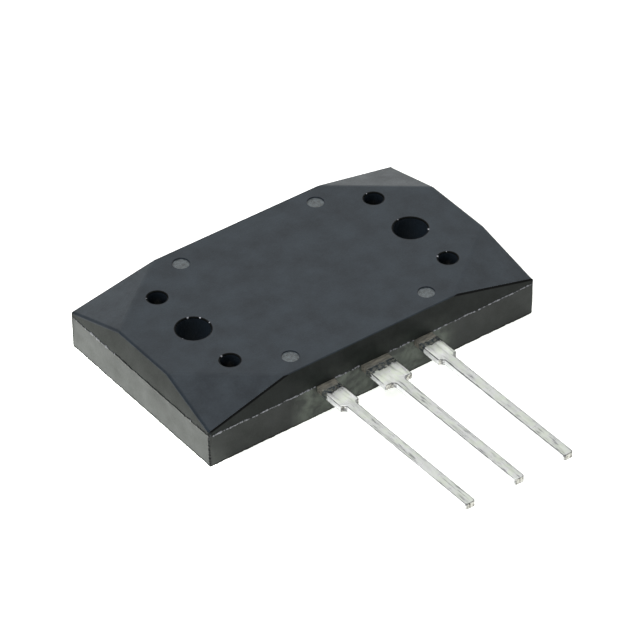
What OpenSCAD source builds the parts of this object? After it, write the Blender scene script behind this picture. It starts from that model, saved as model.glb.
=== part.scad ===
// Power transistor in a flat moulded package. A plated copper header carries the
// silicon die, three leads leave one long side, and an epoxy body holds them all.
// The origin is midway between the two screw holes, on the mounting face.
// +X runs from one screw hole to the other, -Y is the way the leads point, +Z is up.

/* [Moulded body] */
// Length of the body at its parting line, in the direction of the screw holes
body_length = 36.4; // [35.6:0.1:40]
// Width of the body at its parting line
body_width = 21.4; // [20.8:0.1:24]
// Height of the top face above the mounting face
body_height = 6; // [5.6:0.1:7]
// Height of the parting line, which is level with the top of the leads
parting_height = 3.5; // [3.3:0.05:3.8]
// How far the lower walls lean in between the parting line and the mounting face
lower_lean = 0.14; // [0.05:0.01:0.3]
// How far the two end walls lean in between the parting line and the top face
end_lean = 0.45; // [0.2:0.05:0.8]
// How far the two long walls lean in between the parting line and the top face
side_lean = 0.5; // [0.2:0.05:0.8]
// Radius of the outline that rounds the four upright corners
corner_radius = 0.7; // [0.4:0.1:1.2]

/* [Sloping corners of the top] */
// Reach of each corner slope along the long wall, from the end of the body
slope_length = 8.9; // [8:0.1:10]
// Reach of each corner slope along the end wall, from the long side of the body
slope_width = 7.05; // [6.4:0.05:7.6]
// Height at which the corner slopes meet the upright corners
corner_height = 3.9; // [3.6:0.1:5]

/* [Screw holes] */
// Distance from each end of the body to the centre of its screw hole
screw_inset = 6; // [5.6:0.1:6.6]
// Diameter of the screw holes
screw_hole = 3.2; // [2.8:0.1:4]
// Wall of the epoxy bush that lines each screw hole in the header
bush_wall = 1.2; // [0.8:0.1:1.5]

/* [Marks of the mould] */
// Diameter of the holes left by the pins that hold the header down in the mould
pin_hole = 1.8; // [1.2:0.1:2.2]
// Distance of each pin hole from the centre of its screw hole
pin_offset = 5.55; // [4.8:0.05:5.8]
// Diameter of the round ejector marks in the top face
mark_diameter = 1.6; // [1:0.1:2]
// Depth of the ejector marks
mark_depth = 0.12; // [0.05:0.01:0.3]
// Distance of the ejector marks from the end of the body
mark_end_inset = 10.6; // [10:0.1:12]
// Distance of the ejector marks from the long side of the body
mark_side_inset = 2.4; // [2:0.1:3.4]

/* [Header plate] */
// Thickness of the header plate
header_thickness = 2.1; // [1.6:0.1:2.3]
// Width of the epoxy past each end of the header plate
header_end_margin = 1.6; // [1.3:0.1:1.9]
// Width of the epoxy past each long side of the header plate
header_side_margin = 1.9; // [1.7:0.1:2.6]
// Radius of the corners of the header plate
header_corner = 1.5; // [0.5:0.1:3]
// Height of the narrower foot of the header plate, which keys it into the epoxy
key_height = 0.7; // [0.4:0.1:1.2]
// Width of the step between that foot and the rest of the plate
key_width = 0.5; // [0.2:0.1:0.7]

/* [Leads] */
// Distance between the centres of neighbouring leads
lead_pitch = 5.45; // [5:0.05:6]
// Width of the free part of each lead
lead_width = 1.05; // [0.8:0.05:1.4]
// Thickness of the lead frame
lead_thickness = 0.65; // [0.5:0.05:0.75]
// Length of each lead outside the body
lead_length = 20.5; // [16:0.5:24]
// Width of the root of the two outer leads
outer_root_width = 2; // [1.6:0.1:2.6]
// Width of the root of the centre lead
centre_root_width = 3; // [2.4:0.1:3.6]
// Length of the wide root outside the body
root_length = 3.5; // [2.5:0.1:4]
// Radius in the corner between a root's shoulder and its lead
shoulder_radius = 0.45; // [0.1:0.05:0.6]
// Chamfer on the two corners of each lead's tip
tip_chamfer = 0.15; // [0.05:0.05:0.3]

/* [Lead frame inside the body] */
// Width of the heads of the two outer leads, where the wires are bonded
head_width = 4; // [3.2:0.1:4.4]
// Length of those heads and of the centre lead's foot
head_length = 2.2; // [1.8:0.1:2.4]
// Length over which the centre lead slopes down to its foot
joggle_length = 1.1; // [0.8:0.1:1.3]
// Distance from the edge of the header plate to the start of that foot
foot_setback = 0.2; // [0.1:0.05:0.5]
// Thickness of the solder under the foot
foot_solder_thickness = 0.05; // [0.03:0.01:0.1]

/* [Die and wires] */
// Side of the square silicon die
die_size = 7; // [6:0.1:8.4]
// Thickness of the die
die_thickness = 0.3; // [0.2:0.05:0.5]
// Thickness of the solder under the die
die_solder_thickness = 0.08; // [0.04:0.01:0.15]
// How far that solder runs out past the edge of the die
die_solder_margin = 0.3; // [0.1:0.05:0.5]
// Diameter of the base wire
base_wire_diameter = 0.3; // [0.2:0.05:0.4]
// Diameter of the two emitter wires
emitter_wire_diameter = 0.4; // [0.3:0.05:0.5]
// Rise of each wire's arc above the straight line between its bonds
wire_rise = 1.25; // [0.9:0.05:1.5]
// Distance of the base bond from the two nearest edges of the die
base_bond_inset = 1; // [0.6:0.1:1.4]
// Place of the middle of the emitter bonds across the die
emitter_bond_x = 1.5; // [1.2:0.1:1.8]
// Place of the emitter bonds towards the leads, from the centre of the die
emitter_bond_y = 1.2; // [0.6:0.1:1.8]
// Distance between the emitter bonds on the die
die_bond_spacing = 1.8; // [1:0.1:2]
// Distance between the emitter bonds on the lead
lead_bond_spacing = 1.1; // [0.9:0.1:1.8]

/* [Hidden] */
$fn = 48;

// Half sizes of the body, and the place of the screw holes
half_length = body_length / 2;
half_width = body_width / 2;
screw_x = half_length - screw_inset;
// How far a cut runs past the surface that it opens
past = 1;
// How far the corner outline stands outside the walls, so that it rounds the corners alone
corner_outset = 0.1;

// The header plate
header_length = body_length - 2 * header_end_margin;
header_width = body_width - 2 * header_side_margin;
header_hole = screw_hole + 2 * bush_wall;

// Heights of the lead frame, the foot and the die
lead_top = parting_height;
lead_bottom = lead_top - lead_thickness;
foot_bottom = header_thickness + foot_solder_thickness;
die_bottom = header_thickness + die_solder_thickness;
die_top = die_bottom + die_thickness;

// Places along Y of the lead frame, from the tips inwards
wall_y = -half_width;
tip_y = wall_y - lead_length;
shoulder_y = wall_y - root_length;
foot_y = foot_setback - header_width / 2;
head_end_y = foot_y + head_length;
head_centre_y = foot_y + head_length / 2;

// The joggle of the centre lead: its drop, its angle, and how far the bends in the
// upper face lie from the bends in the lower face, so that the strip keeps its thickness
joggle_drop = lead_bottom - foot_bottom;
joggle_angle = atan2(joggle_drop, joggle_length);
bend_shift = lead_thickness * tan(joggle_angle / 2);

// Largest share of a shoulder that its fillet may take up
fillet_share = 0.9;

// A wedge bond's length, width and thickness, in diameters of its wire
bond_length = 3;
bond_width = 1.4;
bond_thickness = 0.5;

// Places of the bonds on the die and on the heads
base_bond = [base_bond_inset - die_size / 2, base_bond_inset - die_size / 2];
base_post = [-lead_pitch, head_centre_y];

// Outline of the body's walls across the direction in which it is half wide
function wall_profile(half, upper_lean) = [
    [lower_lean - half, 0],
    [half - lower_lean, 0],
    [half, parting_height],
    [half - upper_lean, body_height],
    [upper_lean - half, body_height],
    [-half, parting_height]
];

// The place of one of the two emitter bonds, side -1 or 1, on the die
function emitter_bond(side) = [emitter_bond_x + side * die_bond_spacing / 2, -emitter_bond_y];

// The place of that wire's other bond, on the head of the emitter lead
function emitter_post(side) = [lead_pitch + side * lead_bond_spacing / 2, head_centre_y];

// A child drawn once at each screw hole
module at_screw_holes() {
    for (side = [-1, 1])
        translate([side * screw_x, 0, 0]) children();
}

// A child for the corner of +X and +Y, drawn at all four corners
module at_four_corners() {
    for (flip_x = [0, 1], flip_y = [0, 1])
        mirror([flip_x, 0, 0]) mirror([0, flip_y, 0]) children();
}

// A flat plate with round corners, standing on the plane z = 0
module round_cornered_plate(length, width, radius, height) {
    linear_extrude(height = height) {
        square([length - 2 * radius, width], center = true);
        square([length, width - 2 * radius], center = true);
        for (x = [-1, 1], y = [-1, 1])
            translate([x * (length / 2 - radius), y * (width / 2 - radius)]) circle(r = radius);
    }
}

// The space above one sloping corner of the top. Its lower face runs through the corner
// line of the top face and falls to corner_height at the upright corner.
module corner_slope() {
    start = [half_length - slope_length, half_width - side_lean];
    end = [half_length - end_lean, half_width - slope_width];
    line = end - start;
    heading = atan2(line.y, line.x);
    to_corner = [half_length, half_width] - start;
    distance = (to_corner.y * line.x - to_corner.x * line.y) / norm(line);
    slope = atan2(body_height - corner_height, distance);
    reach = norm(line);
    translate([start.x, start.y, body_height])
        rotate([0, 0, heading])
            rotate([-slope, 0, 0])
                translate([-reach, -past, 0]) cube([3 * reach, distance + 3 * past, body_height]);
}

// The body's outer form: walls that lean both ways from the parting line, rounded upright
// corners and four sloping corners
module body_form() {
    difference() {
        intersection() {
            rotate([90, 0, 0])
                linear_extrude(height = body_width + 2 * past, center = true)
                    polygon(wall_profile(half_length, end_lean));
            rotate([90, 0, 90])
                linear_extrude(height = body_length + 2 * past, center = true)
                    polygon(wall_profile(half_width, side_lean));
            translate([0, 0, -past])
                round_cornered_plate(body_length + 2 * corner_outset, body_width + 2 * corner_outset,
                                     corner_radius, body_height + 2 * past);
        }
        at_four_corners() corner_slope();
    }
}

// The header plate, with its foot carried down by the given depth where it serves as a cut
module header_form(depth = 0) {
    difference() {
        union() {
            translate([0, 0, -depth])
                round_cornered_plate(header_length - 2 * key_width, header_width - 2 * key_width,
                                     header_corner, key_height + depth);
            translate([0, 0, key_height])
                round_cornered_plate(header_length, header_width, header_corner,
                                     header_thickness - key_height);
        }
        at_screw_holes()
            translate([0, 0, -past - depth])
                cylinder(d = header_hole, h = header_thickness + 2 * past + depth);
    }
}

// The concave fillet between a root's shoulder and the side of its lead
module shoulder_fillet(root_width) {
    radius = min(shoulder_radius, fillet_share * (root_width - lead_width) / 2);
    translate([lead_width / 2, shoulder_y])
        mirror([0, 1])
            difference() {
                square(radius);
                translate([radius, radius]) circle(r = radius);
            }
}

// Plan of one lead: the free part with its chamfered tip, then the root, which runs on into
// the body as far as inner_y
module lead_plan(root_width, inner_y) {
    side = lead_width / 2;
    polygon([
        [-side, shoulder_y],
        [-side, tip_y + tip_chamfer],
        [tip_chamfer - side, tip_y],
        [side - tip_chamfer, tip_y],
        [side, tip_y + tip_chamfer],
        [side, shoulder_y]
    ]);
    translate([-root_width / 2, shoulder_y]) square([root_width, inner_y - shoulder_y]);
    shoulder_fillet(root_width);
    mirror([1, 0]) shoulder_fillet(root_width);
}

// An outer lead: flat all the way, with a wide head for its bonds inside the body
module outer_lead() {
    translate([0, 0, lead_bottom])
        linear_extrude(height = lead_thickness) {
            lead_plan(outer_root_width, head_end_y);
            translate([-head_width / 2, foot_y]) square([head_width, head_length]);
        }
}

// The centre lead: the same plan, cut out of a strip that steps down to the header
module centre_lead() {
    joggle_y = foot_y - joggle_length;
    intersection() {
        linear_extrude(height = body_height) lead_plan(centre_root_width, head_end_y);
        rotate([90, 0, 90])
            linear_extrude(height = 2 * centre_root_width, center = true)
                polygon([
                    [tip_y - past, lead_bottom],
                    [joggle_y, lead_bottom],
                    [foot_y, foot_bottom],
                    [head_end_y + past, foot_bottom],
                    [head_end_y + past, foot_bottom + lead_thickness],
                    [foot_y + bend_shift, foot_bottom + lead_thickness],
                    [joggle_y + bend_shift, lead_top],
                    [tip_y - past, lead_top]
                ]);
    }
}

// The flattened end of a wire, pressed onto the surface at the given height
module wedge_bond(place, surface, heading, diameter) {
    translate([place.x, place.y, surface])
        rotate([0, 0, heading])
            translate([-bond_length * diameter / 2, -bond_width * diameter / 2, 0])
                cube([bond_length * diameter, bond_width * diameter, bond_thickness * diameter]);
}

// A bonded wire: one arc from the die to the top of a lead, with a wedge bond at each end
module bonded_wire(on_die, on_lead, diameter) {
    start = [on_die.x, on_die.y, die_top + diameter / 2];
    end = [on_lead.x, on_lead.y, lead_top + diameter / 2];
    chord = end - start;
    span = norm(chord);
    radius = (span * span / 4 + wire_rise * wire_rise) / (2 * wire_rise);
    half_angle = asin(span / (2 * radius));
    heading = atan2(chord.y, chord.x);
    climb = asin(chord.z / span);
    translate((start + end) / 2)
        rotate([90, -climb, heading])
            translate([0, wire_rise - radius, 0])
                rotate([0, 0, 90 - half_angle])
                    rotate_extrude(angle = 2 * half_angle)
                        translate([radius, 0]) circle(d = diameter);
    wedge_bond(on_die, die_top, heading, diameter);
    wedge_bond(on_lead, lead_top, heading, diameter);
}

// Everything that the epoxy was moulded round
module moulded_in() {
    header_form(past);
    base_lead();
    collector_lead();
    emitter_lead();
    silicon_die();
    die_solder();
    foot_solder();
    base_wire();
    emitter_wire_1();
    emitter_wire_2();
}

// Epoxy body with its screw holes, pin holes and ejector marks
module moulded_body() {
    color("#42464a")
        difference() {
            body_form();
            moulded_in();
            at_screw_holes()
                translate([0, 0, -past]) cylinder(d = screw_hole, h = body_height + 2 * past);
            at_screw_holes()
                for (side = [-1, 1])
                    translate([0, side * pin_offset, header_thickness - key_height / 2])
                        cylinder(d = pin_hole, h = body_height);
            at_four_corners()
                translate([
                    half_length - mark_end_inset,
                    half_width - mark_side_inset,
                    body_height - mark_depth
                ])
                    cylinder(d = mark_diameter, h = mark_depth + past);
        }
}

// Nickel-plated copper header, flush with the mounting face
module header_plate() {
    color("#c4c5c2") header_form();
}

// Lead to the base, on the -X side
module base_lead() {
    color("#d4d6d2") translate([-lead_pitch, 0, 0]) outer_lead();
}

// Lead to the collector, soldered to the header
module collector_lead() {
    color("#d4d6d2") centre_lead();
}

// Lead to the emitter, on the +X side
module emitter_lead() {
    color("#d4d6d2") translate([lead_pitch, 0, 0]) outer_lead();
}

// Silicon die, in the middle of the header
module silicon_die() {
    color("#6d7480")
        translate([-die_size / 2, -die_size / 2, die_bottom]) cube([die_size, die_size, die_thickness]);
}

// Solder between the die and the header
module die_solder() {
    side = die_size + 2 * die_solder_margin;
    color("#9fa2a4")
        translate([-side / 2, -side / 2, header_thickness]) cube([side, side, die_solder_thickness]);
}

// Solder between the collector lead's foot and the header
module foot_solder() {
    color("#9fa2a4")
        translate([-centre_root_width / 2, foot_y, header_thickness])
            cube([centre_root_width, head_length, foot_solder_thickness]);
}

// Aluminium wire from the die to the base lead
module base_wire() {
    color("#dcdee0") bonded_wire(base_bond, base_post, base_wire_diameter);
}

// Aluminium wires from the die to the emitter lead
module emitter_wire_1() {
    color("#dcdee0") bonded_wire(emitter_bond(-1), emitter_post(-1), emitter_wire_diameter);
}

module emitter_wire_2() {
    color("#dcdee0") bonded_wire(emitter_bond(1), emitter_post(1), emitter_wire_diameter);
}

moulded_body();
header_plate();
base_lead();
collector_lead();
emitter_lead();
silicon_die();
die_solder();
foot_solder();
base_wire();
emitter_wire_1();
emitter_wire_2();
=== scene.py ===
from math import atan2, cos, degrees, hypot, pi, radians, sin
import bmesh
import bpy
from mathutils import Matrix, Vector


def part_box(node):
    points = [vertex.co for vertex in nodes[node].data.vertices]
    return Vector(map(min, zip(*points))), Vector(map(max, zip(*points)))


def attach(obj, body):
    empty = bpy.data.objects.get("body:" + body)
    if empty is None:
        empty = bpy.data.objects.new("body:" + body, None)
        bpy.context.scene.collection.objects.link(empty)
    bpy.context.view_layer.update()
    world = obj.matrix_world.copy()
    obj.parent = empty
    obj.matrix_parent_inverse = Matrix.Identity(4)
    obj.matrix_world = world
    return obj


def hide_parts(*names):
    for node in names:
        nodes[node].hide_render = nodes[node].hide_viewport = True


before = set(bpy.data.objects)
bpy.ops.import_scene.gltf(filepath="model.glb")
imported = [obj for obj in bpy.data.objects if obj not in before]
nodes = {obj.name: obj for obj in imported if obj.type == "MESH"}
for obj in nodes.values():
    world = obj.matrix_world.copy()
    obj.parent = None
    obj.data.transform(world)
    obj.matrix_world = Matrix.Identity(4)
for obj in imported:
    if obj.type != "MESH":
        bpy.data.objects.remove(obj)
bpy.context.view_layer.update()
print("frame loaded:", len(nodes), "nodes")

# Pieces are shaped in millimetres and scaled to metres when they are placed.
mm = 0.001


def linearColour(code):
    channels = [int(code[i:i + 2], 16) / 255 for i in (1, 3, 5)]
    return [c / 12.92 if c <= 0.04045 else ((c + 0.055) / 1.055) ** 2.4 for c in channels] + [1.0]


def setUp(tree, node, settings):
    # each setting is a property of the node, a socket's value, or what to join to that socket
    for key, value in settings.items():
        if isinstance(value, bpy.types.Node):
            tree.links.new(node.inputs[key], value.outputs[0])
        elif isinstance(value, bpy.types.NodeSocket):
            tree.links.new(node.inputs[key], value)
        elif isinstance(key, str) and hasattr(node, key):
            setattr(node, key, value)
        else:
            node.inputs[key].default_value = value


def addNode(tree, kind, settings=None):
    node = tree.nodes.new(kind)
    setUp(tree, node, settings or {})
    return node


def maths(tree, operation, *values):
    return addNode(tree, "ShaderNodeMath", {"operation": operation, **dict(enumerate(values))})


def vectorMaths(tree, operation, *values):
    return addNode(tree, "ShaderNodeVectorMath", {"operation": operation, **dict(enumerate(values))})


def product(tree, value, *others):
    for other in others:
        value = maths(tree, "MULTIPLY", value, other)
    return value


def centred(tree, pattern, amount):
    # a pattern's grey, moved to either side of zero
    return product(tree, maths(tree, "SUBTRACT", pattern, 0.5), amount)


def spread(tree, source, low, high, fromLow=0.3, fromHigh=0.7, curve="LINEAR"):
    # turns a pattern's grey, or another value, into one between low and high
    return addNode(tree, "ShaderNodeMapRange", {
        "interpolation_type": curve, "Value": source, "From Min": fromLow, "From Max": fromHigh,
        "To Min": low, "To Max": high})


def split(tree, vector):
    # gives outputs named X, Y and Z
    return addNode(tree, "ShaderNodeSeparateXYZ", {0: vector}).outputs


def startMaterial(name, shaderSettings):
    material = bpy.data.materials.new(name)
    material.use_nodes = True
    tree = material.node_tree
    tree.nodes.clear()
    shader = addNode(tree, "ShaderNodeBsdfPrincipled", shaderSettings)
    addNode(tree, "ShaderNodeOutputMaterial", {"Surface": shader})
    return material, tree, shader


def ownPlace(tree):
    return addNode(tree, "ShaderNodeTexCoord").outputs["Object"]


def ownShare(tree, name):
    return addNode(tree, "ShaderNodeAttribute", {"attribute_name": name}).outputs["Fac"]


patternShift = (0.31, 0.73, 0.47)  # in blotches; at height zero noise looks regular


def objectPattern(tree, size, stretch=(1, 1, 1), detail=3.0, roughness=0.55, distortion=0.0):
    # noise whose blotches are about "size" millimetres wide, drawn out by stretch
    scale = [1 / (size * mm * s) for s in stretch]
    place = addNode(tree, "ShaderNodeMapping", {
        "Vector": ownPlace(tree), "Scale": scale, "Location": patternShift})
    return addNode(tree, "ShaderNodeTexNoise", {
        "Vector": place, "Scale": 1.0, "Detail": detail, "Roughness": roughness, "Distortion": distortion})


def mixColours(tree, share, first, second):
    # a colour is a code or another node's output; a Mix node's colour sockets are 6 and 7
    colours = [linearColour(c) if isinstance(c, str) else c for c in (first, second)]
    mix = addNode(tree, "ShaderNodeMix", {"data_type": "RGBA", 0: share, 6: colours[0], 7: colours[1]})
    return mix.outputs[2]


def bumpFrom(tree, height, depth, under=None):
    settings = {"Height": height, "Distance": depth * mm, "Strength": 1.0}
    if under:
        settings["Normal"] = under
    return addNode(tree, "ShaderNodeBump", settings)


# Epoxy moulding compound: black resin filled with ground silica, pressed hot into a
# spark-eroded steel mould. The eye sees a dark blue-green satin with a very fine grain.
epoxySettings = {
    # each finish as (dark, light, specular level, how pale its high spots are); the walls
    # slide along the mould as the part comes out, which leaves them duller and greyer
    "finishes": {
        "mouldedFace": ("#12171d", "#1b2229", 0.19, 0.0),
        "rubbedRim": ("#12171d", "#1b2229", 0.19, 0.7),  # the screw holes' lower rims
        "upperWall": ("#121513", "#1c1f1e", 0.085, 0.0),
        "lowerWall": ("#121513", "#1c1f1e", 0.155, 0.0),
        # black along the slopes' edges over the long walls, and painted shade round the holes' top rims
        # (the holes' dark carried over them) and round the foot (the shade where it meets the floor)
        "blackEdgeAndShade": ("#050606", "#0a0b0b", 0.04, 0.0),
    },
    "grain": 0.16,  # mm; the real pits are about 0.03 and would not show
    "grainDepth": 0.0035,
    "cloud": 2.2,  # mm; slow change of sheen where the resin flowed
    "grainShare": 0.45,  # how much of the grain is added to the cloud
    "shown": (0.5, 0.95),  # the part of that sum that makes the tones
    "roughness": (0.52, 0.4),
    "fleck": 0.4,  # mm; handling rubs the rims' high spots pale
    "fleckRange": (0.48, 0.62),
    "rubbed": "#6a6d6e",
    # pale streaks on the wall beside the leads: partly flux from the soldering dried to smears, partly
    # painted light for the leads' reflection in the wall and the light they throw onto it
    "smearBounceSize": 1.3,
    "smearBounceColour": "#5a6058",
    "smearBounceShare": (0.15, 0.7),
    "smearBounceRange": (0.38, 0.66),
    # where they fade out in mm: to either side, away from the front, at the parting line,
    # above which a little is left, and at the top
    "smearBounceSides": (7.6, 9.4),
    "smearBounceFront": (-10.3, -10),
    "smearBounceLip": (3.4, 3.5),
    "smearBounceAbove": 0.12,
    "smearBounceTop": (4.2, 5),
}


def nearLeads(tree, s):
    # 1 on the wall beside the leads
    place = split(tree, ownPlace(tree))
    across = maths(tree, "ABSOLUTE", place["X"])
    fades = [(across, 0, s["smearBounceSides"]), (place["Y"], 0, s["smearBounceFront"]),
             (place["Z"], s["smearBounceAbove"], s["smearBounceLip"]), (place["Z"], 0, s["smearBounceTop"])]
    return product(tree, *(spread(tree, axis, 1, rest, start * mm, end * mm)
                           for axis, rest, (start, end) in fades))


def mouldedEpoxy(name):
    s = epoxySettings
    dark, light, gloss, rub = s["finishes"][name]
    material, tree, shader = startMaterial(name, {"IOR": 1.5, "Specular IOR Level": gloss})
    grain = objectPattern(tree, s["grain"], detail=2.0)
    cloud = objectPattern(tree, s["cloud"], detail=5.0, roughness=0.6)
    mixed = maths(tree, "MULTIPLY_ADD", grain, s["grainShare"], cloud)
    colour = mixColours(tree, spread(tree, mixed, 0, 1, *s["shown"]), dark, light)
    # the pale streaks beside the leads: part flux smear, part painted light from the leads
    smearBouncePattern = objectPattern(tree, s["smearBounceSize"], detail=4.0, distortion=0.3)
    smearAndBounceLight = product(tree, spread(tree, smearBouncePattern, *s["smearBounceShare"], *s["smearBounceRange"]), nearLeads(tree, s))
    colour = mixColours(tree, smearAndBounceLight, colour, s["smearBounceColour"])
    if rub:
        flecks = objectPattern(tree, s["fleck"], detail=4.0, roughness=0.7)
        colour = mixColours(tree, spread(tree, flecks, 0, rub, *s["fleckRange"]), colour, s["rubbed"])
    setUp(tree, shader, {
        "Base Color": colour,
        "Roughness": spread(tree, mixed, *s["roughness"], *s["shown"]),
        "Normal": bumpFrom(tree, grain, s["grainDepth"])})
    return material


# The same compound where it was torn from the mould: flash and chips. The broken
# silica filler shows, so it is paler and quite dull. The attribute "torn" says where. Elsewhere
# the beads stay black, and round the foot and along the left wall that black is painted shade.
tornSettings = {
    "smooth": "#0b0d0e",
    "torn": "#7c7d82",
    "roughness": (0.42, 0.7),
    "speck": 0.12,  # mm
    "speckShare": (0.35, 1.3),
    "speckDepth": 0.01,
}


def tornEpoxyAndShade():
    s = tornSettings
    material, tree, shader = startMaterial("tornEpoxyAndShade", {"IOR": 1.5, "Specular IOR Level": 0.1})
    speck = objectPattern(tree, s["speck"], detail=2.0)
    lift = product(tree, ownShare(tree, "torn"), spread(tree, speck, *s["speckShare"]))
    setUp(tree, shader, {
        "Base Color": mixColours(tree, lift, s["smooth"], s["torn"]),
        "Roughness": spread(tree, lift, *s["roughness"], 0, 1),
        "Normal": bumpFrom(tree, speck, s["speckDepth"])})
    return material


# The compound against an ejector pin's turned end: the same resin, but glossier than the
# eroded mould face leaves it, with the lathe's rings printed in it.
ejectorSettings = {
    "dark": "#080a0b",
    "light": "#4a5054",
    "roughness": (0.3, 0.5),
    "speck": 0.3,  # mm
    "speckDepth": 0.02,
}


def ejectorEpoxy():
    s = ejectorSettings
    material, tree, shader = startMaterial("ejectorEpoxy", {"IOR": 1.5, "Specular IOR Level": 0.36})
    speck = objectPattern(tree, s["speck"], detail=5.0, roughness=0.75)
    setUp(tree, shader, {
        "Base Color": mixColours(tree, spread(tree, speck, 0, 1), s["dark"], s["light"]),
        "Roughness": spread(tree, speck, *s["roughness"]),
        "Normal": bumpFrom(tree, speck, s["speckDepth"])})
    return material


# Solder-dipped copper: a stamped copper strip that went through molten tin-lead. The eye
# sees a soft white metal, mottled and dashed along the strip, with dark lines along the
# edges, partly where the solder drew thin and partly painted reflection of the dark sky low
# down, darkest along the far edge; the flanks are painted near white, a painted reflection of
# the lit floor. The dip stops short of the body: the bare plated strip there mirrors the dark
# wall, and right at the wall a film of resin lies on it.
# The lead's own attributes dip, edge, flank, cut and bleed say where each of these is.
tinSettings = {
    "bright": "#d4d3d5", "soft": "#c3c4c0", "tarnish": "#c2cab4",
    "dulled": "#737476", "dulledShare": 0.36,  # the narrow stretches are duller than the roots
    "dash": "#616164", "dashShare": 0.75,
    "dashWidth": 0.16,  # mm across; drawn out nine times along the lead
    "dashFrom": -14.5,  # mm; the wide roots show none
    "dashFade": 1.0,  # mm
    "thin": "#58585b",  # the dark line along the edges: thin solder, and painted reflection of the dark sky low down
    "darkEdgeLess": -0.15,  # less of it shows on the narrow stretches
    "side": "#fbfbfd",  # painted highlight: the flanks drawn near white, as they look mirroring the lit floor
    "cut": "#b9b8b2", "bared": "#4f4c46",  # sheared ends, with little solder on them
    "strip": "#8f8f88", "blot": "#555c61",  # bare plating beside the dip, and its stains
    "film": "#5b5850", "filmDark": "#3a3934",  # resin film
    "blotWidth": 0.3,  # mm
    "streak": 0.25,  # mm; the film's streaks run across, drawn out three times
    "lump": 0.9,  # mm
    "ripple": 0.35,  # mm across; drawn out three times along the lead
    "rippleDepth": 0.0035,
    "pit": 0.12,  # mm
    "pitDepth": 0.001,
    "roughness": (0.25, 0.36),
    "rougher": {"flank": 0.25, "cut": 0.1, "bleed": 0.2},
}


def dippedTin():
    s = tinSettings
    material, tree, shader = startMaterial("dippedTin", {})
    zone = {name: ownShare(tree, name) for name in ("dip", "edge", "flank", "cut", "bleed")}
    ripple = objectPattern(tree, s["ripple"], stretch=(1, 3, 1), detail=3.0)
    dashes = objectPattern(tree, s["dashWidth"], stretch=(1, 9, 1), detail=2.0)
    pit = objectPattern(tree, s["pit"], detail=2.0)
    lump = objectPattern(tree, s["lump"], detail=2.0, distortion=0.6)
    blots = objectPattern(tree, s["blotWidth"], detail=3.0, roughness=0.65)
    streaks = objectPattern(tree, s["streak"], stretch=(3, 1, 1), detail=3.0)
    along = split(tree, ownPlace(tree))["Y"]
    narrow = spread(tree, along, 1, 0, s["dashFrom"] * mm, (s["dashFrom"] + s["dashFade"]) * mm)
    # the coat of solder, its sheared ends and its edges
    coat = mixColours(tree, spread(tree, ripple, 0, 1), s["bright"], s["soft"])
    coat = mixColours(tree, spread(tree, lump, 0, 0.5, 0.45, 0.65), coat, s["tarnish"])
    coat = mixColours(tree, product(tree, narrow, s["dulledShare"]), coat, s["dulled"])
    dashed = product(tree, narrow, spread(tree, dashes, 0, s["dashShare"], 0.58, 0.7))
    coat = mixColours(tree, dashed, coat, s["dash"])
    # painted highlight: the flanks near white
    coat = mixColours(tree, zone["flank"], coat, s["side"])
    ends = mixColours(tree, spread(tree, blots, 0, 1, 0.46, 0.6), s["cut"], s["bared"])
    coat = mixColours(tree, zone["cut"], coat, ends)
    # dark line along the edges, part thin solder, part painted reflection
    darkEdgeLine = product(tree, zone["edge"], maths(tree, "MULTIPLY_ADD", narrow, s["darkEdgeLess"], 1.0))
    coat = mixColours(tree, darkEdgeLine, coat, s["thin"])
    # the bare strip, and the film nearest the wall
    bare = mixColours(tree, spread(tree, blots, 0, 1, 0.42, 0.56), s["strip"], s["blot"])
    film = mixColours(tree, spread(tree, streaks, 0, 1, 0.36, 0.62), s["film"], s["filmDark"])
    colour = mixColours(tree, zone["dip"], bare, coat)
    roughness = spread(tree, lump, *s["roughness"])
    for name, more in s["rougher"].items():
        roughness = maths(tree, "MULTIPLY_ADD", zone[name], more, roughness)
    rippled = bumpFrom(tree, ripple, s["rippleDepth"])
    setUp(tree, shader, {
        "Base Color": mixColours(tree, zone["bleed"], colour, film),
        "Metallic": maths(tree, "SUBTRACT", 1.0, zone["bleed"]),
        "Roughness": roughness,
        "Normal": bumpFrom(tree, pit, s["pitDepth"], under=rippled)})
    return material


# The plate underneath and the pieces inside. Sizes are those of the pattern, in mm.
metalSettings = {
    # Satin nickel on rolled copper: the strip's rolling lines still show through the plating.
    "nickelPlating": {
        "tones": ("#c4c1b8", "#a9a69d"), "roughness": (0.24, 0.4), "size": 4.0, "detail": 4.0,
        "lines": 0.12, "lineDepth": 0.002},
    # Polished silicon with an aluminium pattern on top: smooth, cool grey, slightly mottled.
    "metallisedSilicon": {
        "tones": ("#8a9099", "#a3a8ae"), "roughness": (0.22, 0.22), "size": 0.5, "detail": 1.0,
        "metallic": 0.85},
    # Reflowed lead-tin solder: dull grey with frosty grains.
    "reflowedSolder": {
        "tones": ("#8f9190", "#a9abaa"), "roughness": (0.35, 0.55), "size": 0.3, "detail": 4.0},
    # Drawn aluminium wire: clean and bright, with fine lines from the die it was pulled through.
    "drawnAluminium": {
        "tones": ("#e3e4e5", "#d2d4d6"), "roughness": (0.2, 0.32), "size": 0.05, "detail": 2.0,
        "stretch": (1, 20, 1)},
}


def plainMetal(name):
    s = metalSettings[name]
    material, tree, shader = startMaterial(name, {"Metallic": s.get("metallic", 1.0)})
    pattern = objectPattern(tree, s["size"], stretch=s.get("stretch", (1, 1, 1)), detail=s["detail"])
    setUp(tree, shader, {
        "Base Color": mixColours(tree, spread(tree, pattern, 0, 1), *s["tones"]),
        "Roughness": spread(tree, pattern, *s["roughness"])})
    if "lines" in s:
        lines = objectPattern(tree, s["lines"], stretch=(60, 1, 1), detail=4.0)
        setUp(tree, shader, {"Normal": bumpFrom(tree, lines, s["lineDepth"])})
    return material


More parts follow.
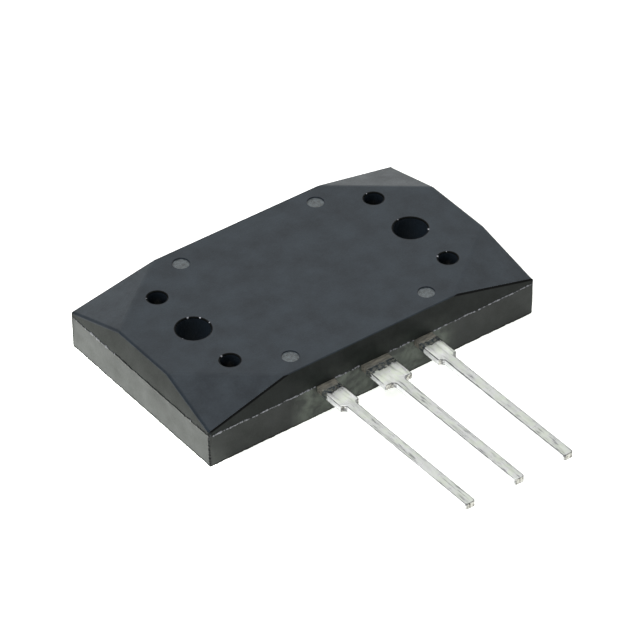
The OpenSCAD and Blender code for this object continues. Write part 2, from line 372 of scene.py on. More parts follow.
epoxies = [mouldedEpoxy(name) for name in epoxySettings["finishes"]]
torn = tornEpoxyAndShade()
ejector = ejectorEpoxy()
tin = dippedTin()
metals = {name: plainMetal(name) for name in metalSettings}
nodeMetals = {
    "header_plate": "nickelPlating", "silicon_die": "metallisedSilicon",
    "die_solder": "reflowedSolder", "foot_solder": "reflowedSolder",
    "base_wire": "drawnAluminium", "emitter_wire_1": "drawnAluminium", "emitter_wire_2": "drawnAluminium",
}
for nodeName, metal in nodeMetals.items():
    nodes[nodeName].data.materials.clear()
    nodes[nodeName].data.materials.append(metals[metal])
print("materials made")


# Small helpers for pieces

levelSlack = 1e-3  # mm; heights that differ less count as the same
weldReach = 0.0005  # mm; points nearer than this are one


def boxInMm(nodeName):
    low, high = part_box(nodeName)
    return Vector(low) / mm, Vector(high) / mm


def newObject(name, mesh):
    thing = bpy.data.objects.new(name, mesh)
    bpy.context.scene.collection.objects.link(thing)
    return thing


def meshFrom(name, points, edges=(), faces=()):
    mesh = bpy.data.meshes.new(name)
    mesh.from_pydata(points, edges, faces)
    return mesh


def addFloats(mesh, name, values):
    mesh.attributes.new(name, "FLOAT", "POINT").data.foreach_set("value", values)


def evaluated(thing):
    # the plain mesh that the object's modifiers give; the object keeps none of them
    graph = bpy.context.evaluated_depsgraph_get()
    mesh = bpy.data.meshes.new_from_object(thing.evaluated_get(graph), depsgraph=graph)
    thing.modifiers.clear()
    print("  ", thing.name, len(mesh.polygons), "faces")
    return mesh


def copyOfNode(nodeName):
    # a merged copy in millimetres; the node's own mesh is loose triangles and stays as it is
    shape = bmesh.new()
    shape.from_mesh(nodes[nodeName].data)
    bmesh.ops.scale(shape, vec=(1 / mm,) * 3, verts=shape.verts)
    bmesh.ops.remove_doubles(shape, verts=shape.verts, dist=1e-4)
    return shape


def placePiece(thing, mesh, replaced=()):
    mesh.transform(Matrix.Scale(mm, 4))
    mesh.name = thing.name
    thing.data = mesh
    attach(thing, "root")
    for nodeName in replaced:
        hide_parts(nodeName)


def startTree(name, inputs):
    # the named inputs come after the geometry; gives all of them as outputs
    tree = bpy.data.node_groups.new(name, "GeometryNodeTree")
    tree.is_modifier = True
    tree.interface.new_socket(name="Geometry", in_out="INPUT", socket_type="NodeSocketGeometry")
    for label, value in inputs.items():
        kind = "NodeSocketInt" if isinstance(value, int) else "NodeSocketFloat"
        socket = tree.interface.new_socket(name=label, in_out="INPUT", socket_type=kind)
        socket.default_value = value
    tree.interface.new_socket(name="Geometry", in_out="OUTPUT", socket_type="NodeSocketGeometry")
    return tree, addNode(tree, "NodeGroupInput").outputs


def endTree(tree, geometry, material):
    realized = addNode(tree, "GeometryNodeRealizeInstances", {0: geometry})
    painted = addNode(tree, "GeometryNodeSetMaterial", {"Material": material, 0: realized})
    addNode(tree, "NodeGroupOutput", {0: painted})


def useTree(thing, tree, changed=None):
    # inputs that aren't changed have the value that the tree was started with
    modifier = thing.modifiers.new(tree.name, "NODES")
    modifier.node_group = tree
    for item in tree.interface.items_tree:
        isInput = item.item_type == "SOCKET" and item.in_out == "INPUT" and item.name != "Geometry"
        if isInput:
            modifier[item.identifier] = (changed or {}).get(item.name, item.default_value)


def vectorOf(tree, **axes):
    return addNode(tree, "ShaderNodeCombineXYZ", axes)


def moved(tree, geometry, how, vector):
    # how is Offset or Position
    return addNode(tree, "GeometryNodeSetPosition", {0: geometry, how: vector})


def swollen(tree, geometry, normal, height):
    outwards = addNode(tree, "ShaderNodeVectorMath", {"operation": "SCALE", 0: normal, "Scale": height})
    return moved(tree, geometry, "Offset", outwards)


def readFloat(tree, name):
    return addNode(tree, "GeometryNodeInputNamedAttribute", {"data_type": "FLOAT", "Name": name})


def storeFloat(tree, geometry, name, value):
    return addNode(tree, "GeometryNodeStoreNamedAttribute", {
        "data_type": "FLOAT", "domain": "POINT", "Name": name, 0: geometry, "Value": value})


def seededNoise(tree, given, place, scale, detail, roughness=0.5):
    return addNode(tree, "ShaderNodeTexNoise", {
        "noise_dimensions": "4D", "Vector": place, "W": given["Seed"], "Scale": scale,
        "Detail": detail, "Roughness": roughness})


# Moulded housing

housingSettings = {
    "partingHeight": 3.5,
    "ledge": 0.05,  # the wall steps in this far at the parting line, for the flash
    "flatAngle": 0.4,  # degrees; facets that meet flatter than this become one face
    "sharpAngle": 15,  # degrees; the parting line and the corners' facets are flatter
    "slopeAngle": 40,  # degrees; the top's edges over the slopes are flatter
    "widestBevel": 0.45,
    # shares of the widest bevel
    "slopeEdge": 0.4,
    "slopeSide": 0.27,
    "endEdge": 0.5,  # the top's edge over the two end walls is softer than the long ones
    "topEdge": 0.2,
    "wallEdge": 0.2,
    "holeRim": 0.3,
    "markRim": 0.06,
    "bevelSteps": 3,
    "endFrom": 2.5,  # mm from the end walls
    "outerReach": 0.75,  # how far in from the outline an edge still counts as outside
    "overParting": 0.2,
    "topBand": 0.15,  # an edge nearer to the top than this is one of its own
    "atLevel": 0.01,  # mm from the top or the foot
    "rootsFrom": -10,  # where the leads leave the wall, in y, and either side in x and z
    "rootsWithin": 8,
    "rootsBand": (2.8, 3.55),
    "uprightShare": 0.9,  # of an edge's length
    "slots": {"face": 0, "rubbed": 1, "upper": 2, "lower": 3, "edge": 4},  # the finishes' order
    "steep": 0.35,  # the most that a wall's normal points up or down
    "flatter": 0.9,  # a bevel's normal lies between the two
    "foot": 0.1,  # the lowest edge's bevel ends below this height
    "rimReach": 0.16,  # mm from a hole's wall and from the top; its rim lies within this
    "broad": 1.0,  # mm2; faces above this size stay flat right up to their bevels
}
bodyLow, bodyHigh = boxInMm("moulded_body")
halfLength, halfWidth, bodyHeight = bodyHigh.x, bodyHigh.y, bodyHigh.z
leadNames = ["base_lead", "collector_lead", "emitter_lead"]
leadBoxes = {n: boxInMm(n) for n in leadNames}
holeX, pinY, markX, markY = 12.2, 5.55, 7.6, 8.3  # mm from the middle
# each as (x, y, radius)
screwHoles = [(x, 0, 1.6) for x in (-holeX, holeX)]
pinHoles = [(x, y, 0.9) for x in (-holeX, holeX) for y in (-pinY, pinY)]
ejectorMarks = [(x, y, 0.8) for x in (-markX, markX) for y in (-markY, markY)]


def outsideDistance(point):
    return min(halfLength - abs(point.x), halfWidth - abs(point.y))


def nearCircle(point, circles, slack=0.05):
    return any(abs(hypot(point.x - x, point.y - y) - r) < slack for x, y, r in circles)


def bevelShare(edge, s):
    a, b = (v.co for v in edge.verts)
    middle = (a + b) / 2
    if len(edge.link_faces) != 2 or degrees(edge.calc_face_angle(0)) < s["sharpAngle"]:
        return 0
    rootsLow, rootsHigh = s["rootsBand"]
    isInRoots = rootsLow < middle.z < rootsHigh and abs(middle.x) < s["rootsWithin"]
    if middle.y < s["rootsFrom"] and isInRoots:
        return 0
    isUpper = middle.z > s["partingHeight"] + s["overParting"]
    if isUpper and abs(middle.x) > halfLength - s["endFrom"]:
        isAcross = abs(a.y - b.y) > abs(a.x - b.x)
        return s["endEdge"] if isAcross else s["slopeSide"]
    if middle.z > bodyHeight - s["topBand"]:
        if nearCircle(a, ejectorMarks):
            return s["markRim"] if middle.z > bodyHeight - s["atLevel"] else 0
        if nearCircle(a, screwHoles + pinHoles):
            return s["holeRim"]
        isSlope = degrees(edge.calc_face_angle(0)) < s["slopeAngle"]
        return s["slopeEdge"] if isSlope else s["topEdge"]
    if isUpper and outsideDistance(middle) < s["outerReach"]:
        return s["slopeSide"]
    isUpright = abs(a.z - b.z) > s["uprightShare"] * (a - b).length
    if isUpright or abs(middle.z - s["partingHeight"]) < s["ledge"]:
        return 0
    if outsideDistance(middle) < s["outerReach"]:
        return s["wallEdge"]
    if middle.z < s["atLevel"] and nearCircle(a, screwHoles):
        return s["holeRim"]
    return 0


def finishOf(face, s):
    # a face without a finish of its own stays as the bevel or the solid has it
    middle, normal = face.center, face.normal
    if nearCircle(middle, screwHoles + pinHoles, s["rimReach"]):
        isRim = bodyHeight - s["rimReach"] < middle.z < bodyHeight - levelSlack
        # the holes' top rims are painted black: painted shade, the hole's dark carried over its rim
        return "edge" if isRim else None
    isOutside = outsideDistance(middle) < 2 * s["outerReach"]
    isWall = isOutside and abs(normal.z) < s["steep"]
    # the foot's bevel is painted black: painted shade where the body meets the floor
    if middle.z < s["foot"]:
        return "edge" if isOutside and abs(normal.z) < s["flatter"] else "upper"
    if middle.z < s["partingHeight"]:
        return "lower" if isWall and face.material_index == s["slots"]["face"] else None
    # above the parting line nothing is rubbed, and the slopes' edges over the long walls are black
    isTilted = isOutside and s["steep"] < normal.z < s["flatter"]
    isLongSide = abs(normal.y) > abs(normal.x) and middle.z < bodyHeight - s["topBand"]
    if isTilted and isLongSide:
        return "edge"
    return "upper" if isWall else "face"


def isOutlineAt(height, point):
    isOuter = outsideDistance(point) < housingSettings["outerReach"]
    return isOuter and abs(point.z - height) < levelSlack


def mouldedHousing():
    s = housingSettings
    shape = copyOfNode("moulded_body")
    bmesh.ops.dissolve_limit(shape, angle_limit=radians(s["flatAngle"]), verts=shape.verts,
                             edges=shape.edges)
    loop = []
    for v in shape.verts:
        if isOutlineAt(s["partingHeight"], v.co):
            v.co.x *= 1 - s["ledge"] / halfLength
            v.co.y *= 1 - s["ledge"] / halfWidth
            loop.append(v.co.copy())
    weights = shape.edges.layers.float.new("bevel_weight_edge")
    for edge in shape.edges:
        edge[weights] = bevelShare(edge, s)
    for face in shape.faces:
        face.smooth = True
    mesh = bpy.data.meshes.new("mouldedHousing")
    shape.to_mesh(mesh)
    shape.free()
    mesh.materials.clear()
    for finish in epoxies:
        mesh.materials.append(finish)
    thing = newObject("moulded_housing", mesh)
    bevel = thing.modifiers.new("roundedEdges", "BEVEL")
    bevel.limit_method = "WEIGHT"
    bevel.width = s["widestBevel"]
    bevel.segments = s["bevelSteps"]
    bevel.use_clamp_overlap = False
    bevel.loop_slide = False  # even widths, also where a seam of the top ends at a rim
    bevel.material = s["slots"]["rubbed"]
    thing.modifiers.new("flatFaces", "WEIGHTED_NORMAL").keep_sharp = True
    finished = evaluated(thing)
    normals = [corner.vector.copy() for corner in finished.corner_normals]
    for face in finished.polygons:
        finish = finishOf(face, s)
        if finish:
            face.material_index = s["slots"][finish]
        if face.area > s["broad"]:
            for i in face.loop_indices:
                normals[i] = face.normal.copy()
    finished.normals_split_custom_set(normals)
    for v in finished.vertices:
        v.co.x = min(max(v.co.x, bodyLow.x), bodyHigh.x)
        v.co.y = min(max(v.co.y, bodyLow.y), bodyHigh.y)
    placePiece(thing, finished, ["moulded_body"])
    return sorted(loop, key=lambda p: atan2(p.y, p.x))


partingLoop = mouldedHousing()
print("housing made, parting line of", len(partingLoop), "points")


# Leads: stamped, then dipped in solder

leadSettings = {
    "wallY": -10.7, "shoulderY": -14.2, "leadWidth": 1.05, "tipChamfer": 0.15,
    "rootWidth": {"base_lead": 2.0, "collector_lead": 3.0, "emitter_lead": 2.0},
    "fillet": {"base_lead": 0.4275, "collector_lead": 0.45, "emitter_lead": 0.4275},
    "headWidth": 4.0, "headFrom": -8.6,
    "joggleFrom": -9.7, "joggleTo": -8.6, "footDrop": 0.7,
    "low": 2.85, "high": 3.5,
    "inset": 0.015,  # room for the solder
    "voxel": 0.06,
    "smoothing": 2,
    "dipStart": -12.05,  # the solder ends about 1.3 mm from the wall
    "dipThickness": 0.02,
    "raggedness": 0.3,
    "ripple": 0.018,
    "filmEnd": -11.4,  # the resin film ends about 0.7 mm from the wall
    # how far handling has pushed each tip sideways
    "tipBend": {"base_lead": 0.25, "collector_lead": 0.22, "emitter_lead": 0.2},
    "seeds": {"base_lead": 3.0, "collector_lead": 10.0, "emitter_lead": 17.0},
}


def leadOutline(name, s):
    # half of the outline from the inner end to the tip, as (half width, y, corner radius)
    root = s["rootWidth"][name] / 2 - s["inset"]
    lead = s["leadWidth"] / 2 - s["inset"]
    tip = leadBoxes[name][0].y + 2 * s["inset"]
    shoulder = s["shoulderY"] + s["inset"]
    inner = leadBoxes[name][1].y
    if name == "collector_lead":
        start = [(root, inner, 0)]
    else:
        head = s["headWidth"] / 2 - s["inset"]
        start = [(head, inner, 0), (head, s["headFrom"], 0), (root, s["headFrom"], 0)]
    chamfer = s["tipChamfer"]
    return start + [(root, shoulder, 0), (lead, shoulder, s["fillet"][name]),
                    (lead, tip + chamfer, 0), (lead - chamfer, tip, 0)]


def stampTree():
    s = leadSettings
    tree, given = startTree("stampedStrip", {
        "Thickness": s["high"] - s["low"] - 2 * s["inset"], "Underside": s["low"] + s["inset"],
        "Fillet Steps": 8})
    outline = addNode(tree, "GeometryNodeMeshToCurve", {0: given["Geometry"]})
    rounded = addNode(tree, "GeometryNodeFilletCurve", {
        "mode": "POLY", "Curve": outline, "Radius": readFloat(tree, "fillet"),
        "Count": given["Fillet Steps"]})
    sheet = addNode(tree, "GeometryNodeFillCurve", {"mode": "NGONS", "Curve": rounded})
    raised = addNode(tree, "GeometryNodeExtrudeMesh", {
        "Individual": False, "Mesh": sheet, "Offset": vectorOf(tree, Z=given["Thickness"])})
    under = addNode(tree, "GeometryNodeFlipFaces", {"Mesh": sheet})
    joined = addNode(tree, "GeometryNodeJoinGeometry", {0: raised})
    setUp(tree, joined, {0: under})  # this socket takes both
    welded = addNode(tree, "GeometryNodeMergeByDistance", {"Distance": weldReach, 0: joined})
    # Fill Curve lays its sheet at zero height
    lifted = moved(tree, welded, "Offset", vectorOf(tree, Z=given["Underside"]))
    endTree(tree, lifted, tin)
    return tree


dipSettings = {
    "ragged": 2.6,  # per mm, the noise that tears the dip's end
    "rangeOfRagged": 4.0,  # noise stays near its middle, so it is stretched
    "filmRagged": 0.5,  # mm
    "softEnd": 0.04,  # mm; half of the slope at the solder's end
    "filmSoftEnd": 0.03,
    "waves": (1.6, 0.3, 1.6),  # per mm; the ripples run along the lead
    "rangeOfRipple": 2.0,
    "bendPower": 1.5,  # the tip bends more than the middle
    # from where to where each of these counts, out of 1
    "edge": (0.1, 0.3), "paintedFarEdge": (0.01, 0.07), "flank": (0.65, 0.9), "cut": (0.55, 0.9),
    "breaks": 2.4,  # against the ripples, how often the edge's dark line breaks
    "broken": (0.38, 0.55),
    "paintedFarShare": 0.9,
}


def dipTree():
    # each lead sets its own foot, tip, bend and seed
    s, lead = dipSettings, leadSettings
    tree, given = startTree("solderDip", {
        "Dip Start": lead["dipStart"], "Thickness": lead["dipThickness"],
        "Raggedness": lead["raggedness"], "Ripple": lead["ripple"], "Foot Drop": 0.0,
        "Foot From": lead["joggleFrom"], "Foot To": lead["joggleTo"], "Film End": lead["filmEnd"],
        "Wall": lead["wallY"], "Tip": lead["shoulderY"], "Tip Bend": 0.0, "Seed": 0.0})
    place = addNode(tree, "GeometryNodeInputPosition")
    along = split(tree, place)["Y"]
    ragged = seededNoise(tree, given, place, s["ragged"], detail=3.0)
    stray = centred(tree, ragged, product(tree, given["Raggedness"], s["rangeOfRagged"]))
    dipEnd = maths(tree, "ADD", given["Dip Start"], stray)
    dip = spread(tree, maths(tree, "SUBTRACT", dipEnd, along), 0, 1, -s["softEnd"], s["softEnd"],
                 "SMOOTHSTEP")
    drawn = vectorMaths(tree, "MULTIPLY", place, s["waves"])
    waves = seededNoise(tree, given, drawn, 1.0, detail=2.0)
    swell = centred(tree, waves, product(tree, given["Ripple"], s["rangeOfRipple"]))
    height = product(tree, maths(tree, "ADD", swell, given["Thickness"]), dip)
    normal = addNode(tree, "GeometryNodeInputNormal")
    solder = swollen(tree, given["Geometry"], normal, height)
    # the collector's inner end steps down to the header
    drop = spread(tree, along, 0, given["Foot Drop"], given["Foot From"], given["Foot To"])
    reach = spread(tree, along, 0, 1, given["Wall"], given["Tip"])
    bend = product(tree, maths(tree, "POWER", reach, s["bendPower"]), given["Tip Bend"])
    shape = moved(tree, solder, "Offset", vectorOf(tree, X=bend, Z=product(tree, drop, -1.0)))
    # which faces are rounded edges, which are sides, and which look along the strip
    facing = split(tree, normal)
    across, ahead, upward = (maths(tree, "ABSOLUTE", facing[axis]) for axis in "XYZ")
    corner = maths(tree, "MAXIMUM", product(tree, across, upward), maths(
        tree, "MAXIMUM", product(tree, across, ahead), product(tree, ahead, upward)))
    breaks = seededNoise(tree, given, drawn, s["breaks"], detail=3.0)
    # the rounded edges' dark line: part thin solder, part painted reflection of the dark sky low down
    edge = product(tree, spread(tree, corner, 0, 1, *s["edge"]), spread(tree, breaks, 0, 1, *s["broken"]))
    # painted reflection: the far long edge is painted darker still, for the dark it mirrors
    paintedFarEdge = spread(tree, product(tree, facing["X"], upward), 0, s["paintedFarShare"], *s["paintedFarEdge"])
    filmEnd = maths(tree, "ADD", given["Film End"], centred(tree, ragged, s["filmRagged"]))
    overFilm = maths(tree, "SUBTRACT", along, filmEnd)
    zones = {
        "dip": dip,
        "edge": maths(tree, "MAXIMUM", edge, paintedFarEdge),
        "flank": spread(tree, across, 0, 1, *s["flank"]),
        "cut": spread(tree, product(tree, facing["Y"], -1.0), 0, 1, *s["cut"]),
        "bleed": spread(tree, overFilm, 0, 1, -s["filmSoftEnd"], s["filmSoftEnd"]),
    }
    for name, value in zones.items():
        shape = storeFloat(tree, shape, name, value)
    endTree(tree, shape, tin)
    return tree


def solderedLead(name, stamp, solder):
    s = leadSettings
    low, high = leadBoxes[name]
    middle = (low.x + high.x) / 2
    half = leadOutline(name, s)
    right = [(middle + w, y, 0) for w, y, r in half]
    left = [(middle - w, y, 0) for w, y, r in reversed(half)]
    points = right + left
    radii = [r for w, y, r in half] + [r for w, y, r in reversed(half)]
    edges = [(i, (i + 1) % len(points)) for i in range(len(points))]
    outline = meshFrom(name + "Outline", points, edges)
    addFloats(outline, "fillet", radii)
    thing = newObject(name + "_tinned", outline)
    useTree(thing, stamp)
    remesh = thing.modifiers.new("evenMesh", "REMESH")
    remesh.mode = "VOXEL"
    remesh.voxel_size = s["voxel"]
    remesh.use_smooth_shade = True
    relax = thing.modifiers.new("roundedEdges", "SMOOTH")
    relax.factor = 0.5
    relax.iterations = s["smoothing"]
    hasFoot = name == "collector_lead"
    useTree(thing, solder, {
        "Foot Drop": s["footDrop"] if hasFoot else 0.0, "Tip": low.y, "Tip Bend": s["tipBend"][name],
        "Seed": s["seeds"][name]})
    finished = evaluated(thing)
    for face in finished.polygons:
        face.use_smooth = True
    placePiece(thing, finished, [name])


stamp = stampTree()
solder = dipTree()
for name in leadNames:
    solderedLead(name, stamp, solder)
print("leads made")


# Flash that was squeezed out where the mould's halves meet, and a black bead round the foot that is
# painted shade

flashSettings = {
    "step": 0.2,  # mm between the points that carry how torn the flash is
    "fine": 0.05,  # mm between the bead's own rings
    "thin": 0.03,  # bead radius where the mould closed well
    "thick": 0.13,  # more where it is torn
    "thickest": 0.17,
    "wobble": 0.3,  # mm; the noise that shifts the line up and down spans about a third of this
    "waver": 1.1,  # per mm, that noise
    "grain": 0.22,  # mm, size of its teeth
    "teethRange": (0.42, 0.75),
    "gaps": 0.9,  # per mm, the noise that thins whole stretches
    "gapRange": (0.4, 0.6),
    "gapShare": 0.45,  # of the teeth that is left in a gap
    "paleLift": 0.35,  # paler stretches show more of the teeth's pattern
    "paleRange": (0.43, 0.63),
    "clearOfLead": 0.1,
    "seed": 11.0,
    # stretches of each wall as (start, end, how torn, how pale), in mm along the wall
    # a lower paleness keeps the bead mostly black; along the left wall that black is painted shade, the
    # dark line under the parting line
    "left": [(-10.7, -7.4, 3.0, 0.1), (-7.4, 3.8, 3.0, -0.3), (3.8, 10.7, 2.2, 0.45)],
    "front": [(-18.2, 18.2, 1.1, 0.72)],
    "right": [(-10.7, 10.7, 0.4, 0.5)],
    "back": [(-18.2, 18.2, 0.4, 0.5)],
    # ragged upright corners, as (sign of x, sign of y, how torn, how pale)
    # the near-left corner's bead is kept black, a dark ragged line up the corner
    "corners": [(-1, -1, 3.2, -1.0), (1, -1, 0.5, -0.4), (-1, 1, 0.3, 0.3), (1, 1, 0.2, 0.3)],
    # a black bead round the foot, painted shade where the body meets the floor, as (height in mm,
    # how torn, how pale)
    "foot": (0.05, 0.5, -1.0),
}


def tornAt(point, s):
    if abs(point.x) / halfLength > abs(point.y) / halfWidth:
        wall, along = ("left" if point.x < 0 else "right"), point.y
    else:
        wall, along = ("front" if point.y < 0 else "back"), point.x
    return next(stretch[2:] for stretch in s[wall] if stretch[0] <= along <= stretch[1])


def flashTree():
    s = flashSettings
    tree, given = startTree("partingFlashAndFootShade", {
        "Step": s["fine"], "Thin": s["thin"], "Thick": s["thick"], "Thickest": s["thickest"],
        "Wobble": s["wobble"], "Teeth per mm": 1 / s["grain"], "Seed": s["seed"]})
    line = addNode(tree, "GeometryNodeMeshToCurve", {0: given["Geometry"]})
    even = addNode(tree, "GeometryNodeResampleCurve", {
        "mode": "LENGTH", "Curve": line, "Length": given["Step"]})
    place = addNode(tree, "GeometryNodeInputPosition")
    teeth = seededNoise(tree, given, place, given["Teeth per mm"], detail=3.0, roughness=0.7)
    gaps = seededNoise(tree, given, place, s["gaps"], detail=2.0)
    burr, pale = readFloat(tree, "burr"), readFloat(tree, "pale")
    tooth = spread(tree, teeth, 0, 1, *s["teethRange"])
    kept = spread(tree, gaps, s["gapShare"], 1, *s["gapRange"])
    amount = product(tree, tooth, kept, burr)
    radius = maths(tree, "MULTIPLY_ADD", amount, given["Thick"], given["Thin"])
    radius = maths(tree, "MINIMUM", radius, given["Thickest"])
    lifted = maths(tree, "MULTIPLY_ADD", maths(tree, "SUBTRACT", pale, 0.5), s["paleLift"], teeth)
    waver = seededNoise(tree, given, place, s["waver"], detail=3.0)
    rise = vectorOf(tree, Z=centred(tree, waver, given["Wobble"]))
    wavy = moved(tree, even, "Offset", rise)
    marked = storeFloat(tree, wavy, "torn", spread(tree, lifted, 0, 1, *s["paleRange"]))
    ring = addNode(tree, "GeometryNodeCurvePrimitiveCircle", {"Resolution": 6, "Radius": 1.0})
    bead = addNode(tree, "GeometryNodeCurveToMesh", {
        "Fill Caps": True, "Curve": marked, "Profile Curve": ring, "Scale": radius})
    # the flash ends at the mould's own parting edge
    inside = vectorMaths(tree, "MINIMUM", place, (halfLength, halfWidth, bodyHeight))
    inside = vectorMaths(tree, "MAXIMUM", inside, (-halfLength, -halfWidth, 0))
    endTree(tree, moved(tree, bead, "Position", inside), torn)
    return tree


def outlineAt(height):
    # the body's outer corners at one height, in order round it
    shape = copyOfNode("moulded_body")
    level = {tuple(v.co) for v in shape.verts if isOutlineAt(height, v.co)}
    shape.free()
    return sorted((Vector(p) for p in level), key=lambda p: atan2(p.y, p.x))


def uprightCorner(foot, top, signX, signY, step):
    # points up one rounded corner, from the foot of the lower wall to the parting line
    low, high = (max(line, key=lambda p: signX * p.x + signY * p.y) for line in (foot, top))
    count = round(housingSettings["partingHeight"] / step)
    return [low.lerp(high, (i + 0.5) / count) for i in range(count)]


def evenSteps(line, step):
    # points about a step apart along a closed line
    points = []
    for a, b in zip(line, line[1:] + line[:1]):
        count = max(1, round((b - a).length / step))
        points += [a.lerp(b, k / count) for k in range(count)]
    return points


def isOverLead(point, s):
    if point.y >= housingSettings["rootsFrom"]:
        return False
    return any(abs(point.x - (low.x + high.x) / 2) < leadSettings["rootWidth"][n] / 2 + s["clearOfLead"]
               for n, (low, high) in leadBoxes.items())


def partingFlashAndFootShade():
    s = flashSettings
    points = evenSteps(partingLoop, s["step"])
    shares = [tornAt(p, s) for p in points]
    edges = []
    for i, p in enumerate(points):
        j = (i + 1) % len(points)
        if not isOverLead((p + points[j]) / 2, s):
            edges.append((i, j))
    # the foot's bead: painted shade along the foot
    foot = outlineAt(0)
    height, *share = s["foot"]
    bead = [p + Vector((0, 0, height)) for p in evenSteps(foot, s["step"])]
    first, count = len(points), len(bead)
    points += bead
    edges += [(first + i, first + (i + 1) % count) for i in range(count)]
    shares += [share] * count
    for signX, signY, *share in s["corners"]:
        line = uprightCorner(foot, partingLoop, signX, signY, s["step"])
        edges += [(len(points) + i, len(points) + i + 1) for i in range(len(line) - 1)]
        points += line
        shares += [share] * len(line)
    mesh = meshFrom("partingLine", points, edges)
    for name, values in zip(("burr", "pale"), zip(*shares)):
        addFloats(mesh, name, values)
    thing = newObject("parting_flash_and_foot_shade", mesh)
    useTree(thing, flashTree())
    placePiece(thing, evaluated(thing))


partingFlashAndFootShade()
print("flash made")


# Small chips that were torn from the rims of the holes when the pins were drawn

chipSettings = {
    # each chip as (hole, degrees round its rim from +X, size in mm)
    "screw": [(0, 72, 0.12), (0, 33, 0.13), (0, -5, 0.09), (0, 200, 0.06),
              (1, -43, 0.13), (1, 95, 0.06)],
    "pin": [(0, 107, 0.12), (1, 150, 0.06), (2, 128, 0.12), (2, 60, 0.06), (3, 95, 0.06)],
    "outside": 0.08,  # mm, how far out of the rim a chip's middle lies
    "below": 0.03,  # mm below the top face
    "sunk": 0.001,  # mm that its flat top is below that face
    "flattened": (0.7, 0.8),
    "lumps": 14.0,  # per mm
    "lumpHeight": 0.2,
    "roughness": 0.5,
    "seed": 4,
}


def chipTree():
    s = chipSettings
    tree, given = startTree("rimChips", {
        "Roughness": s["roughness"], "Top": bodyHeight - s["sunk"], "Seed": s["seed"]})
    size = readFloat(tree, "size")
    ball = addNode(tree, "GeometryNodeMeshIcoSphere", {"Radius": 1.0, "Subdivisions": 3})
    spin = addNode(tree, "FunctionNodeRandomValue", {
        "data_type": "FLOAT_VECTOR", 0: (0, 0, 0), 1: (2 * pi, 2 * pi, 2 * pi), "Seed": given["Seed"]})
    flatY, flatZ = s["flattened"]
    flat = vectorOf(tree, X=size, Y=product(tree, size, flatY), Z=product(tree, size, flatZ))
    placed = addNode(tree, "GeometryNodeInstanceOnPoints", {
        "Points": given["Geometry"], "Instance": ball, "Rotation": spin, "Scale": flat})
    loose = addNode(tree, "GeometryNodeRealizeInstances", {0: placed})
    place = addNode(tree, "GeometryNodeInputPosition")
    lumps = addNode(tree, "ShaderNodeTexNoise", {"Vector": place, "Scale": s["lumps"], "Detail": 2.0})
    push = product(tree, centred(tree, lumps, s["lumpHeight"]), given["Roughness"])
    rough = swollen(tree, loose, addNode(tree, "GeometryNodeInputNormal"), push)
    axes = split(tree, place)
    under = vectorOf(tree, X=axes["X"], Y=axes["Y"], Z=maths(tree, "MINIMUM", axes["Z"], given["Top"]))
    trimmed = moved(tree, rough, "Position", under)
    endTree(tree, storeFloat(tree, trimmed, "torn", 1.0), torn)
    return tree


def rimChips():
    s = chipSettings
    points, sizes = [], []
    for holes, chips in ((screwHoles, s["screw"]), (pinHoles, s["pin"])):
        for hole, angle, size in chips:
            x, y, r = holes[hole]
            turn, reach = radians(angle), r + s["outside"]
            points.append((x + reach * cos(turn), y + reach * sin(turn), bodyHeight - s["below"]))
            sizes.append(size)
    mesh = meshFrom("chipPlaces", points)
    addFloats(mesh, "size", sizes)
    thing = newObject("rim_chips", mesh)
    useTree(thing, chipTree())
    placePiece(thing, evaluated(thing))


rimChips()
print("chips made")


# Rings that the ejector pins' turned ends print in the four shallow marks

markSettings = {
    "floor": 5.88, "lift": 0.004,
    "radius": 0.775, "rings": 5.0, "ringHeight": 0.018,
    "outwards": 24, "around": 48,  # points of the disc
    "fadeFrom": 0.85,  # of the radius; the ridges die out at the mark's wall
    "seed": 5,
}


def markTree():
    s = markSettings
    tree, given = startTree("ejectorRings", {
        "Radius": s["radius"], "Rings": s["rings"], "Ring Height": s["ringHeight"],
        "Segments": s["around"], "Seed": s["seed"]})
    grid = addNode(tree, "GeometryNodeMeshGrid", {
        "Vertices X": s["outwards"], "Vertices Y": given["Segments"], "Size X": 1.0, "Size Y": 1.0})
    axes = split(tree, addNode(tree, "GeometryNodeInputPosition"))
    out = maths(tree, "ADD", axes["X"], 0.5)
    turn = product(tree, maths(tree, "ADD", axes["Y"], 0.5), 2 * pi)
    far = product(tree, out, given["Radius"])
    wave = maths(tree, "COSINE", product(tree, out, product(tree, given["Rings"], 2 * pi)))
    fade = spread(tree, out, 0, 1, 1.0, s["fadeFrom"])
    height = product(tree, maths(tree, "ADD", wave, 1.0), fade, product(tree, given["Ring Height"], 0.5))
    polar = vectorOf(tree, X=product(tree, far, maths(tree, "COSINE", turn)),
                     Y=product(tree, far, maths(tree, "SINE", turn)), Z=height)
    disc = moved(tree, grid, "Position", polar)
    closed = addNode(tree, "GeometryNodeMergeByDistance", {"Distance": weldReach, 0: disc})
    spin = addNode(tree, "FunctionNodeRandomValue", {
        "data_type": "FLOAT_VECTOR", 0: (0, 0, 0), 1: (0, 0, 2 * pi), "Seed": given["Seed"]})
    placed = addNode(tree, "GeometryNodeInstanceOnPoints", {
        "Points": given["Geometry"], "Instance": closed, "Rotation": spin})
    endTree(tree, placed, ejector)
    return tree


def ejectorRings():
    s = markSettings
    points = [(x, y, s["floor"] + s["lift"]) for x, y, r in ejectorMarks]
    thing = newObject("ejector_rings", meshFrom("markCentres", points))
    useTree(thing, markTree())
    finished = evaluated(thing)
    for face in finished.polygons:
        face.use_smooth = True
    placePiece(thing, finished)


ejectorRings()
print("ejector marks made")


# Floor, light and camera

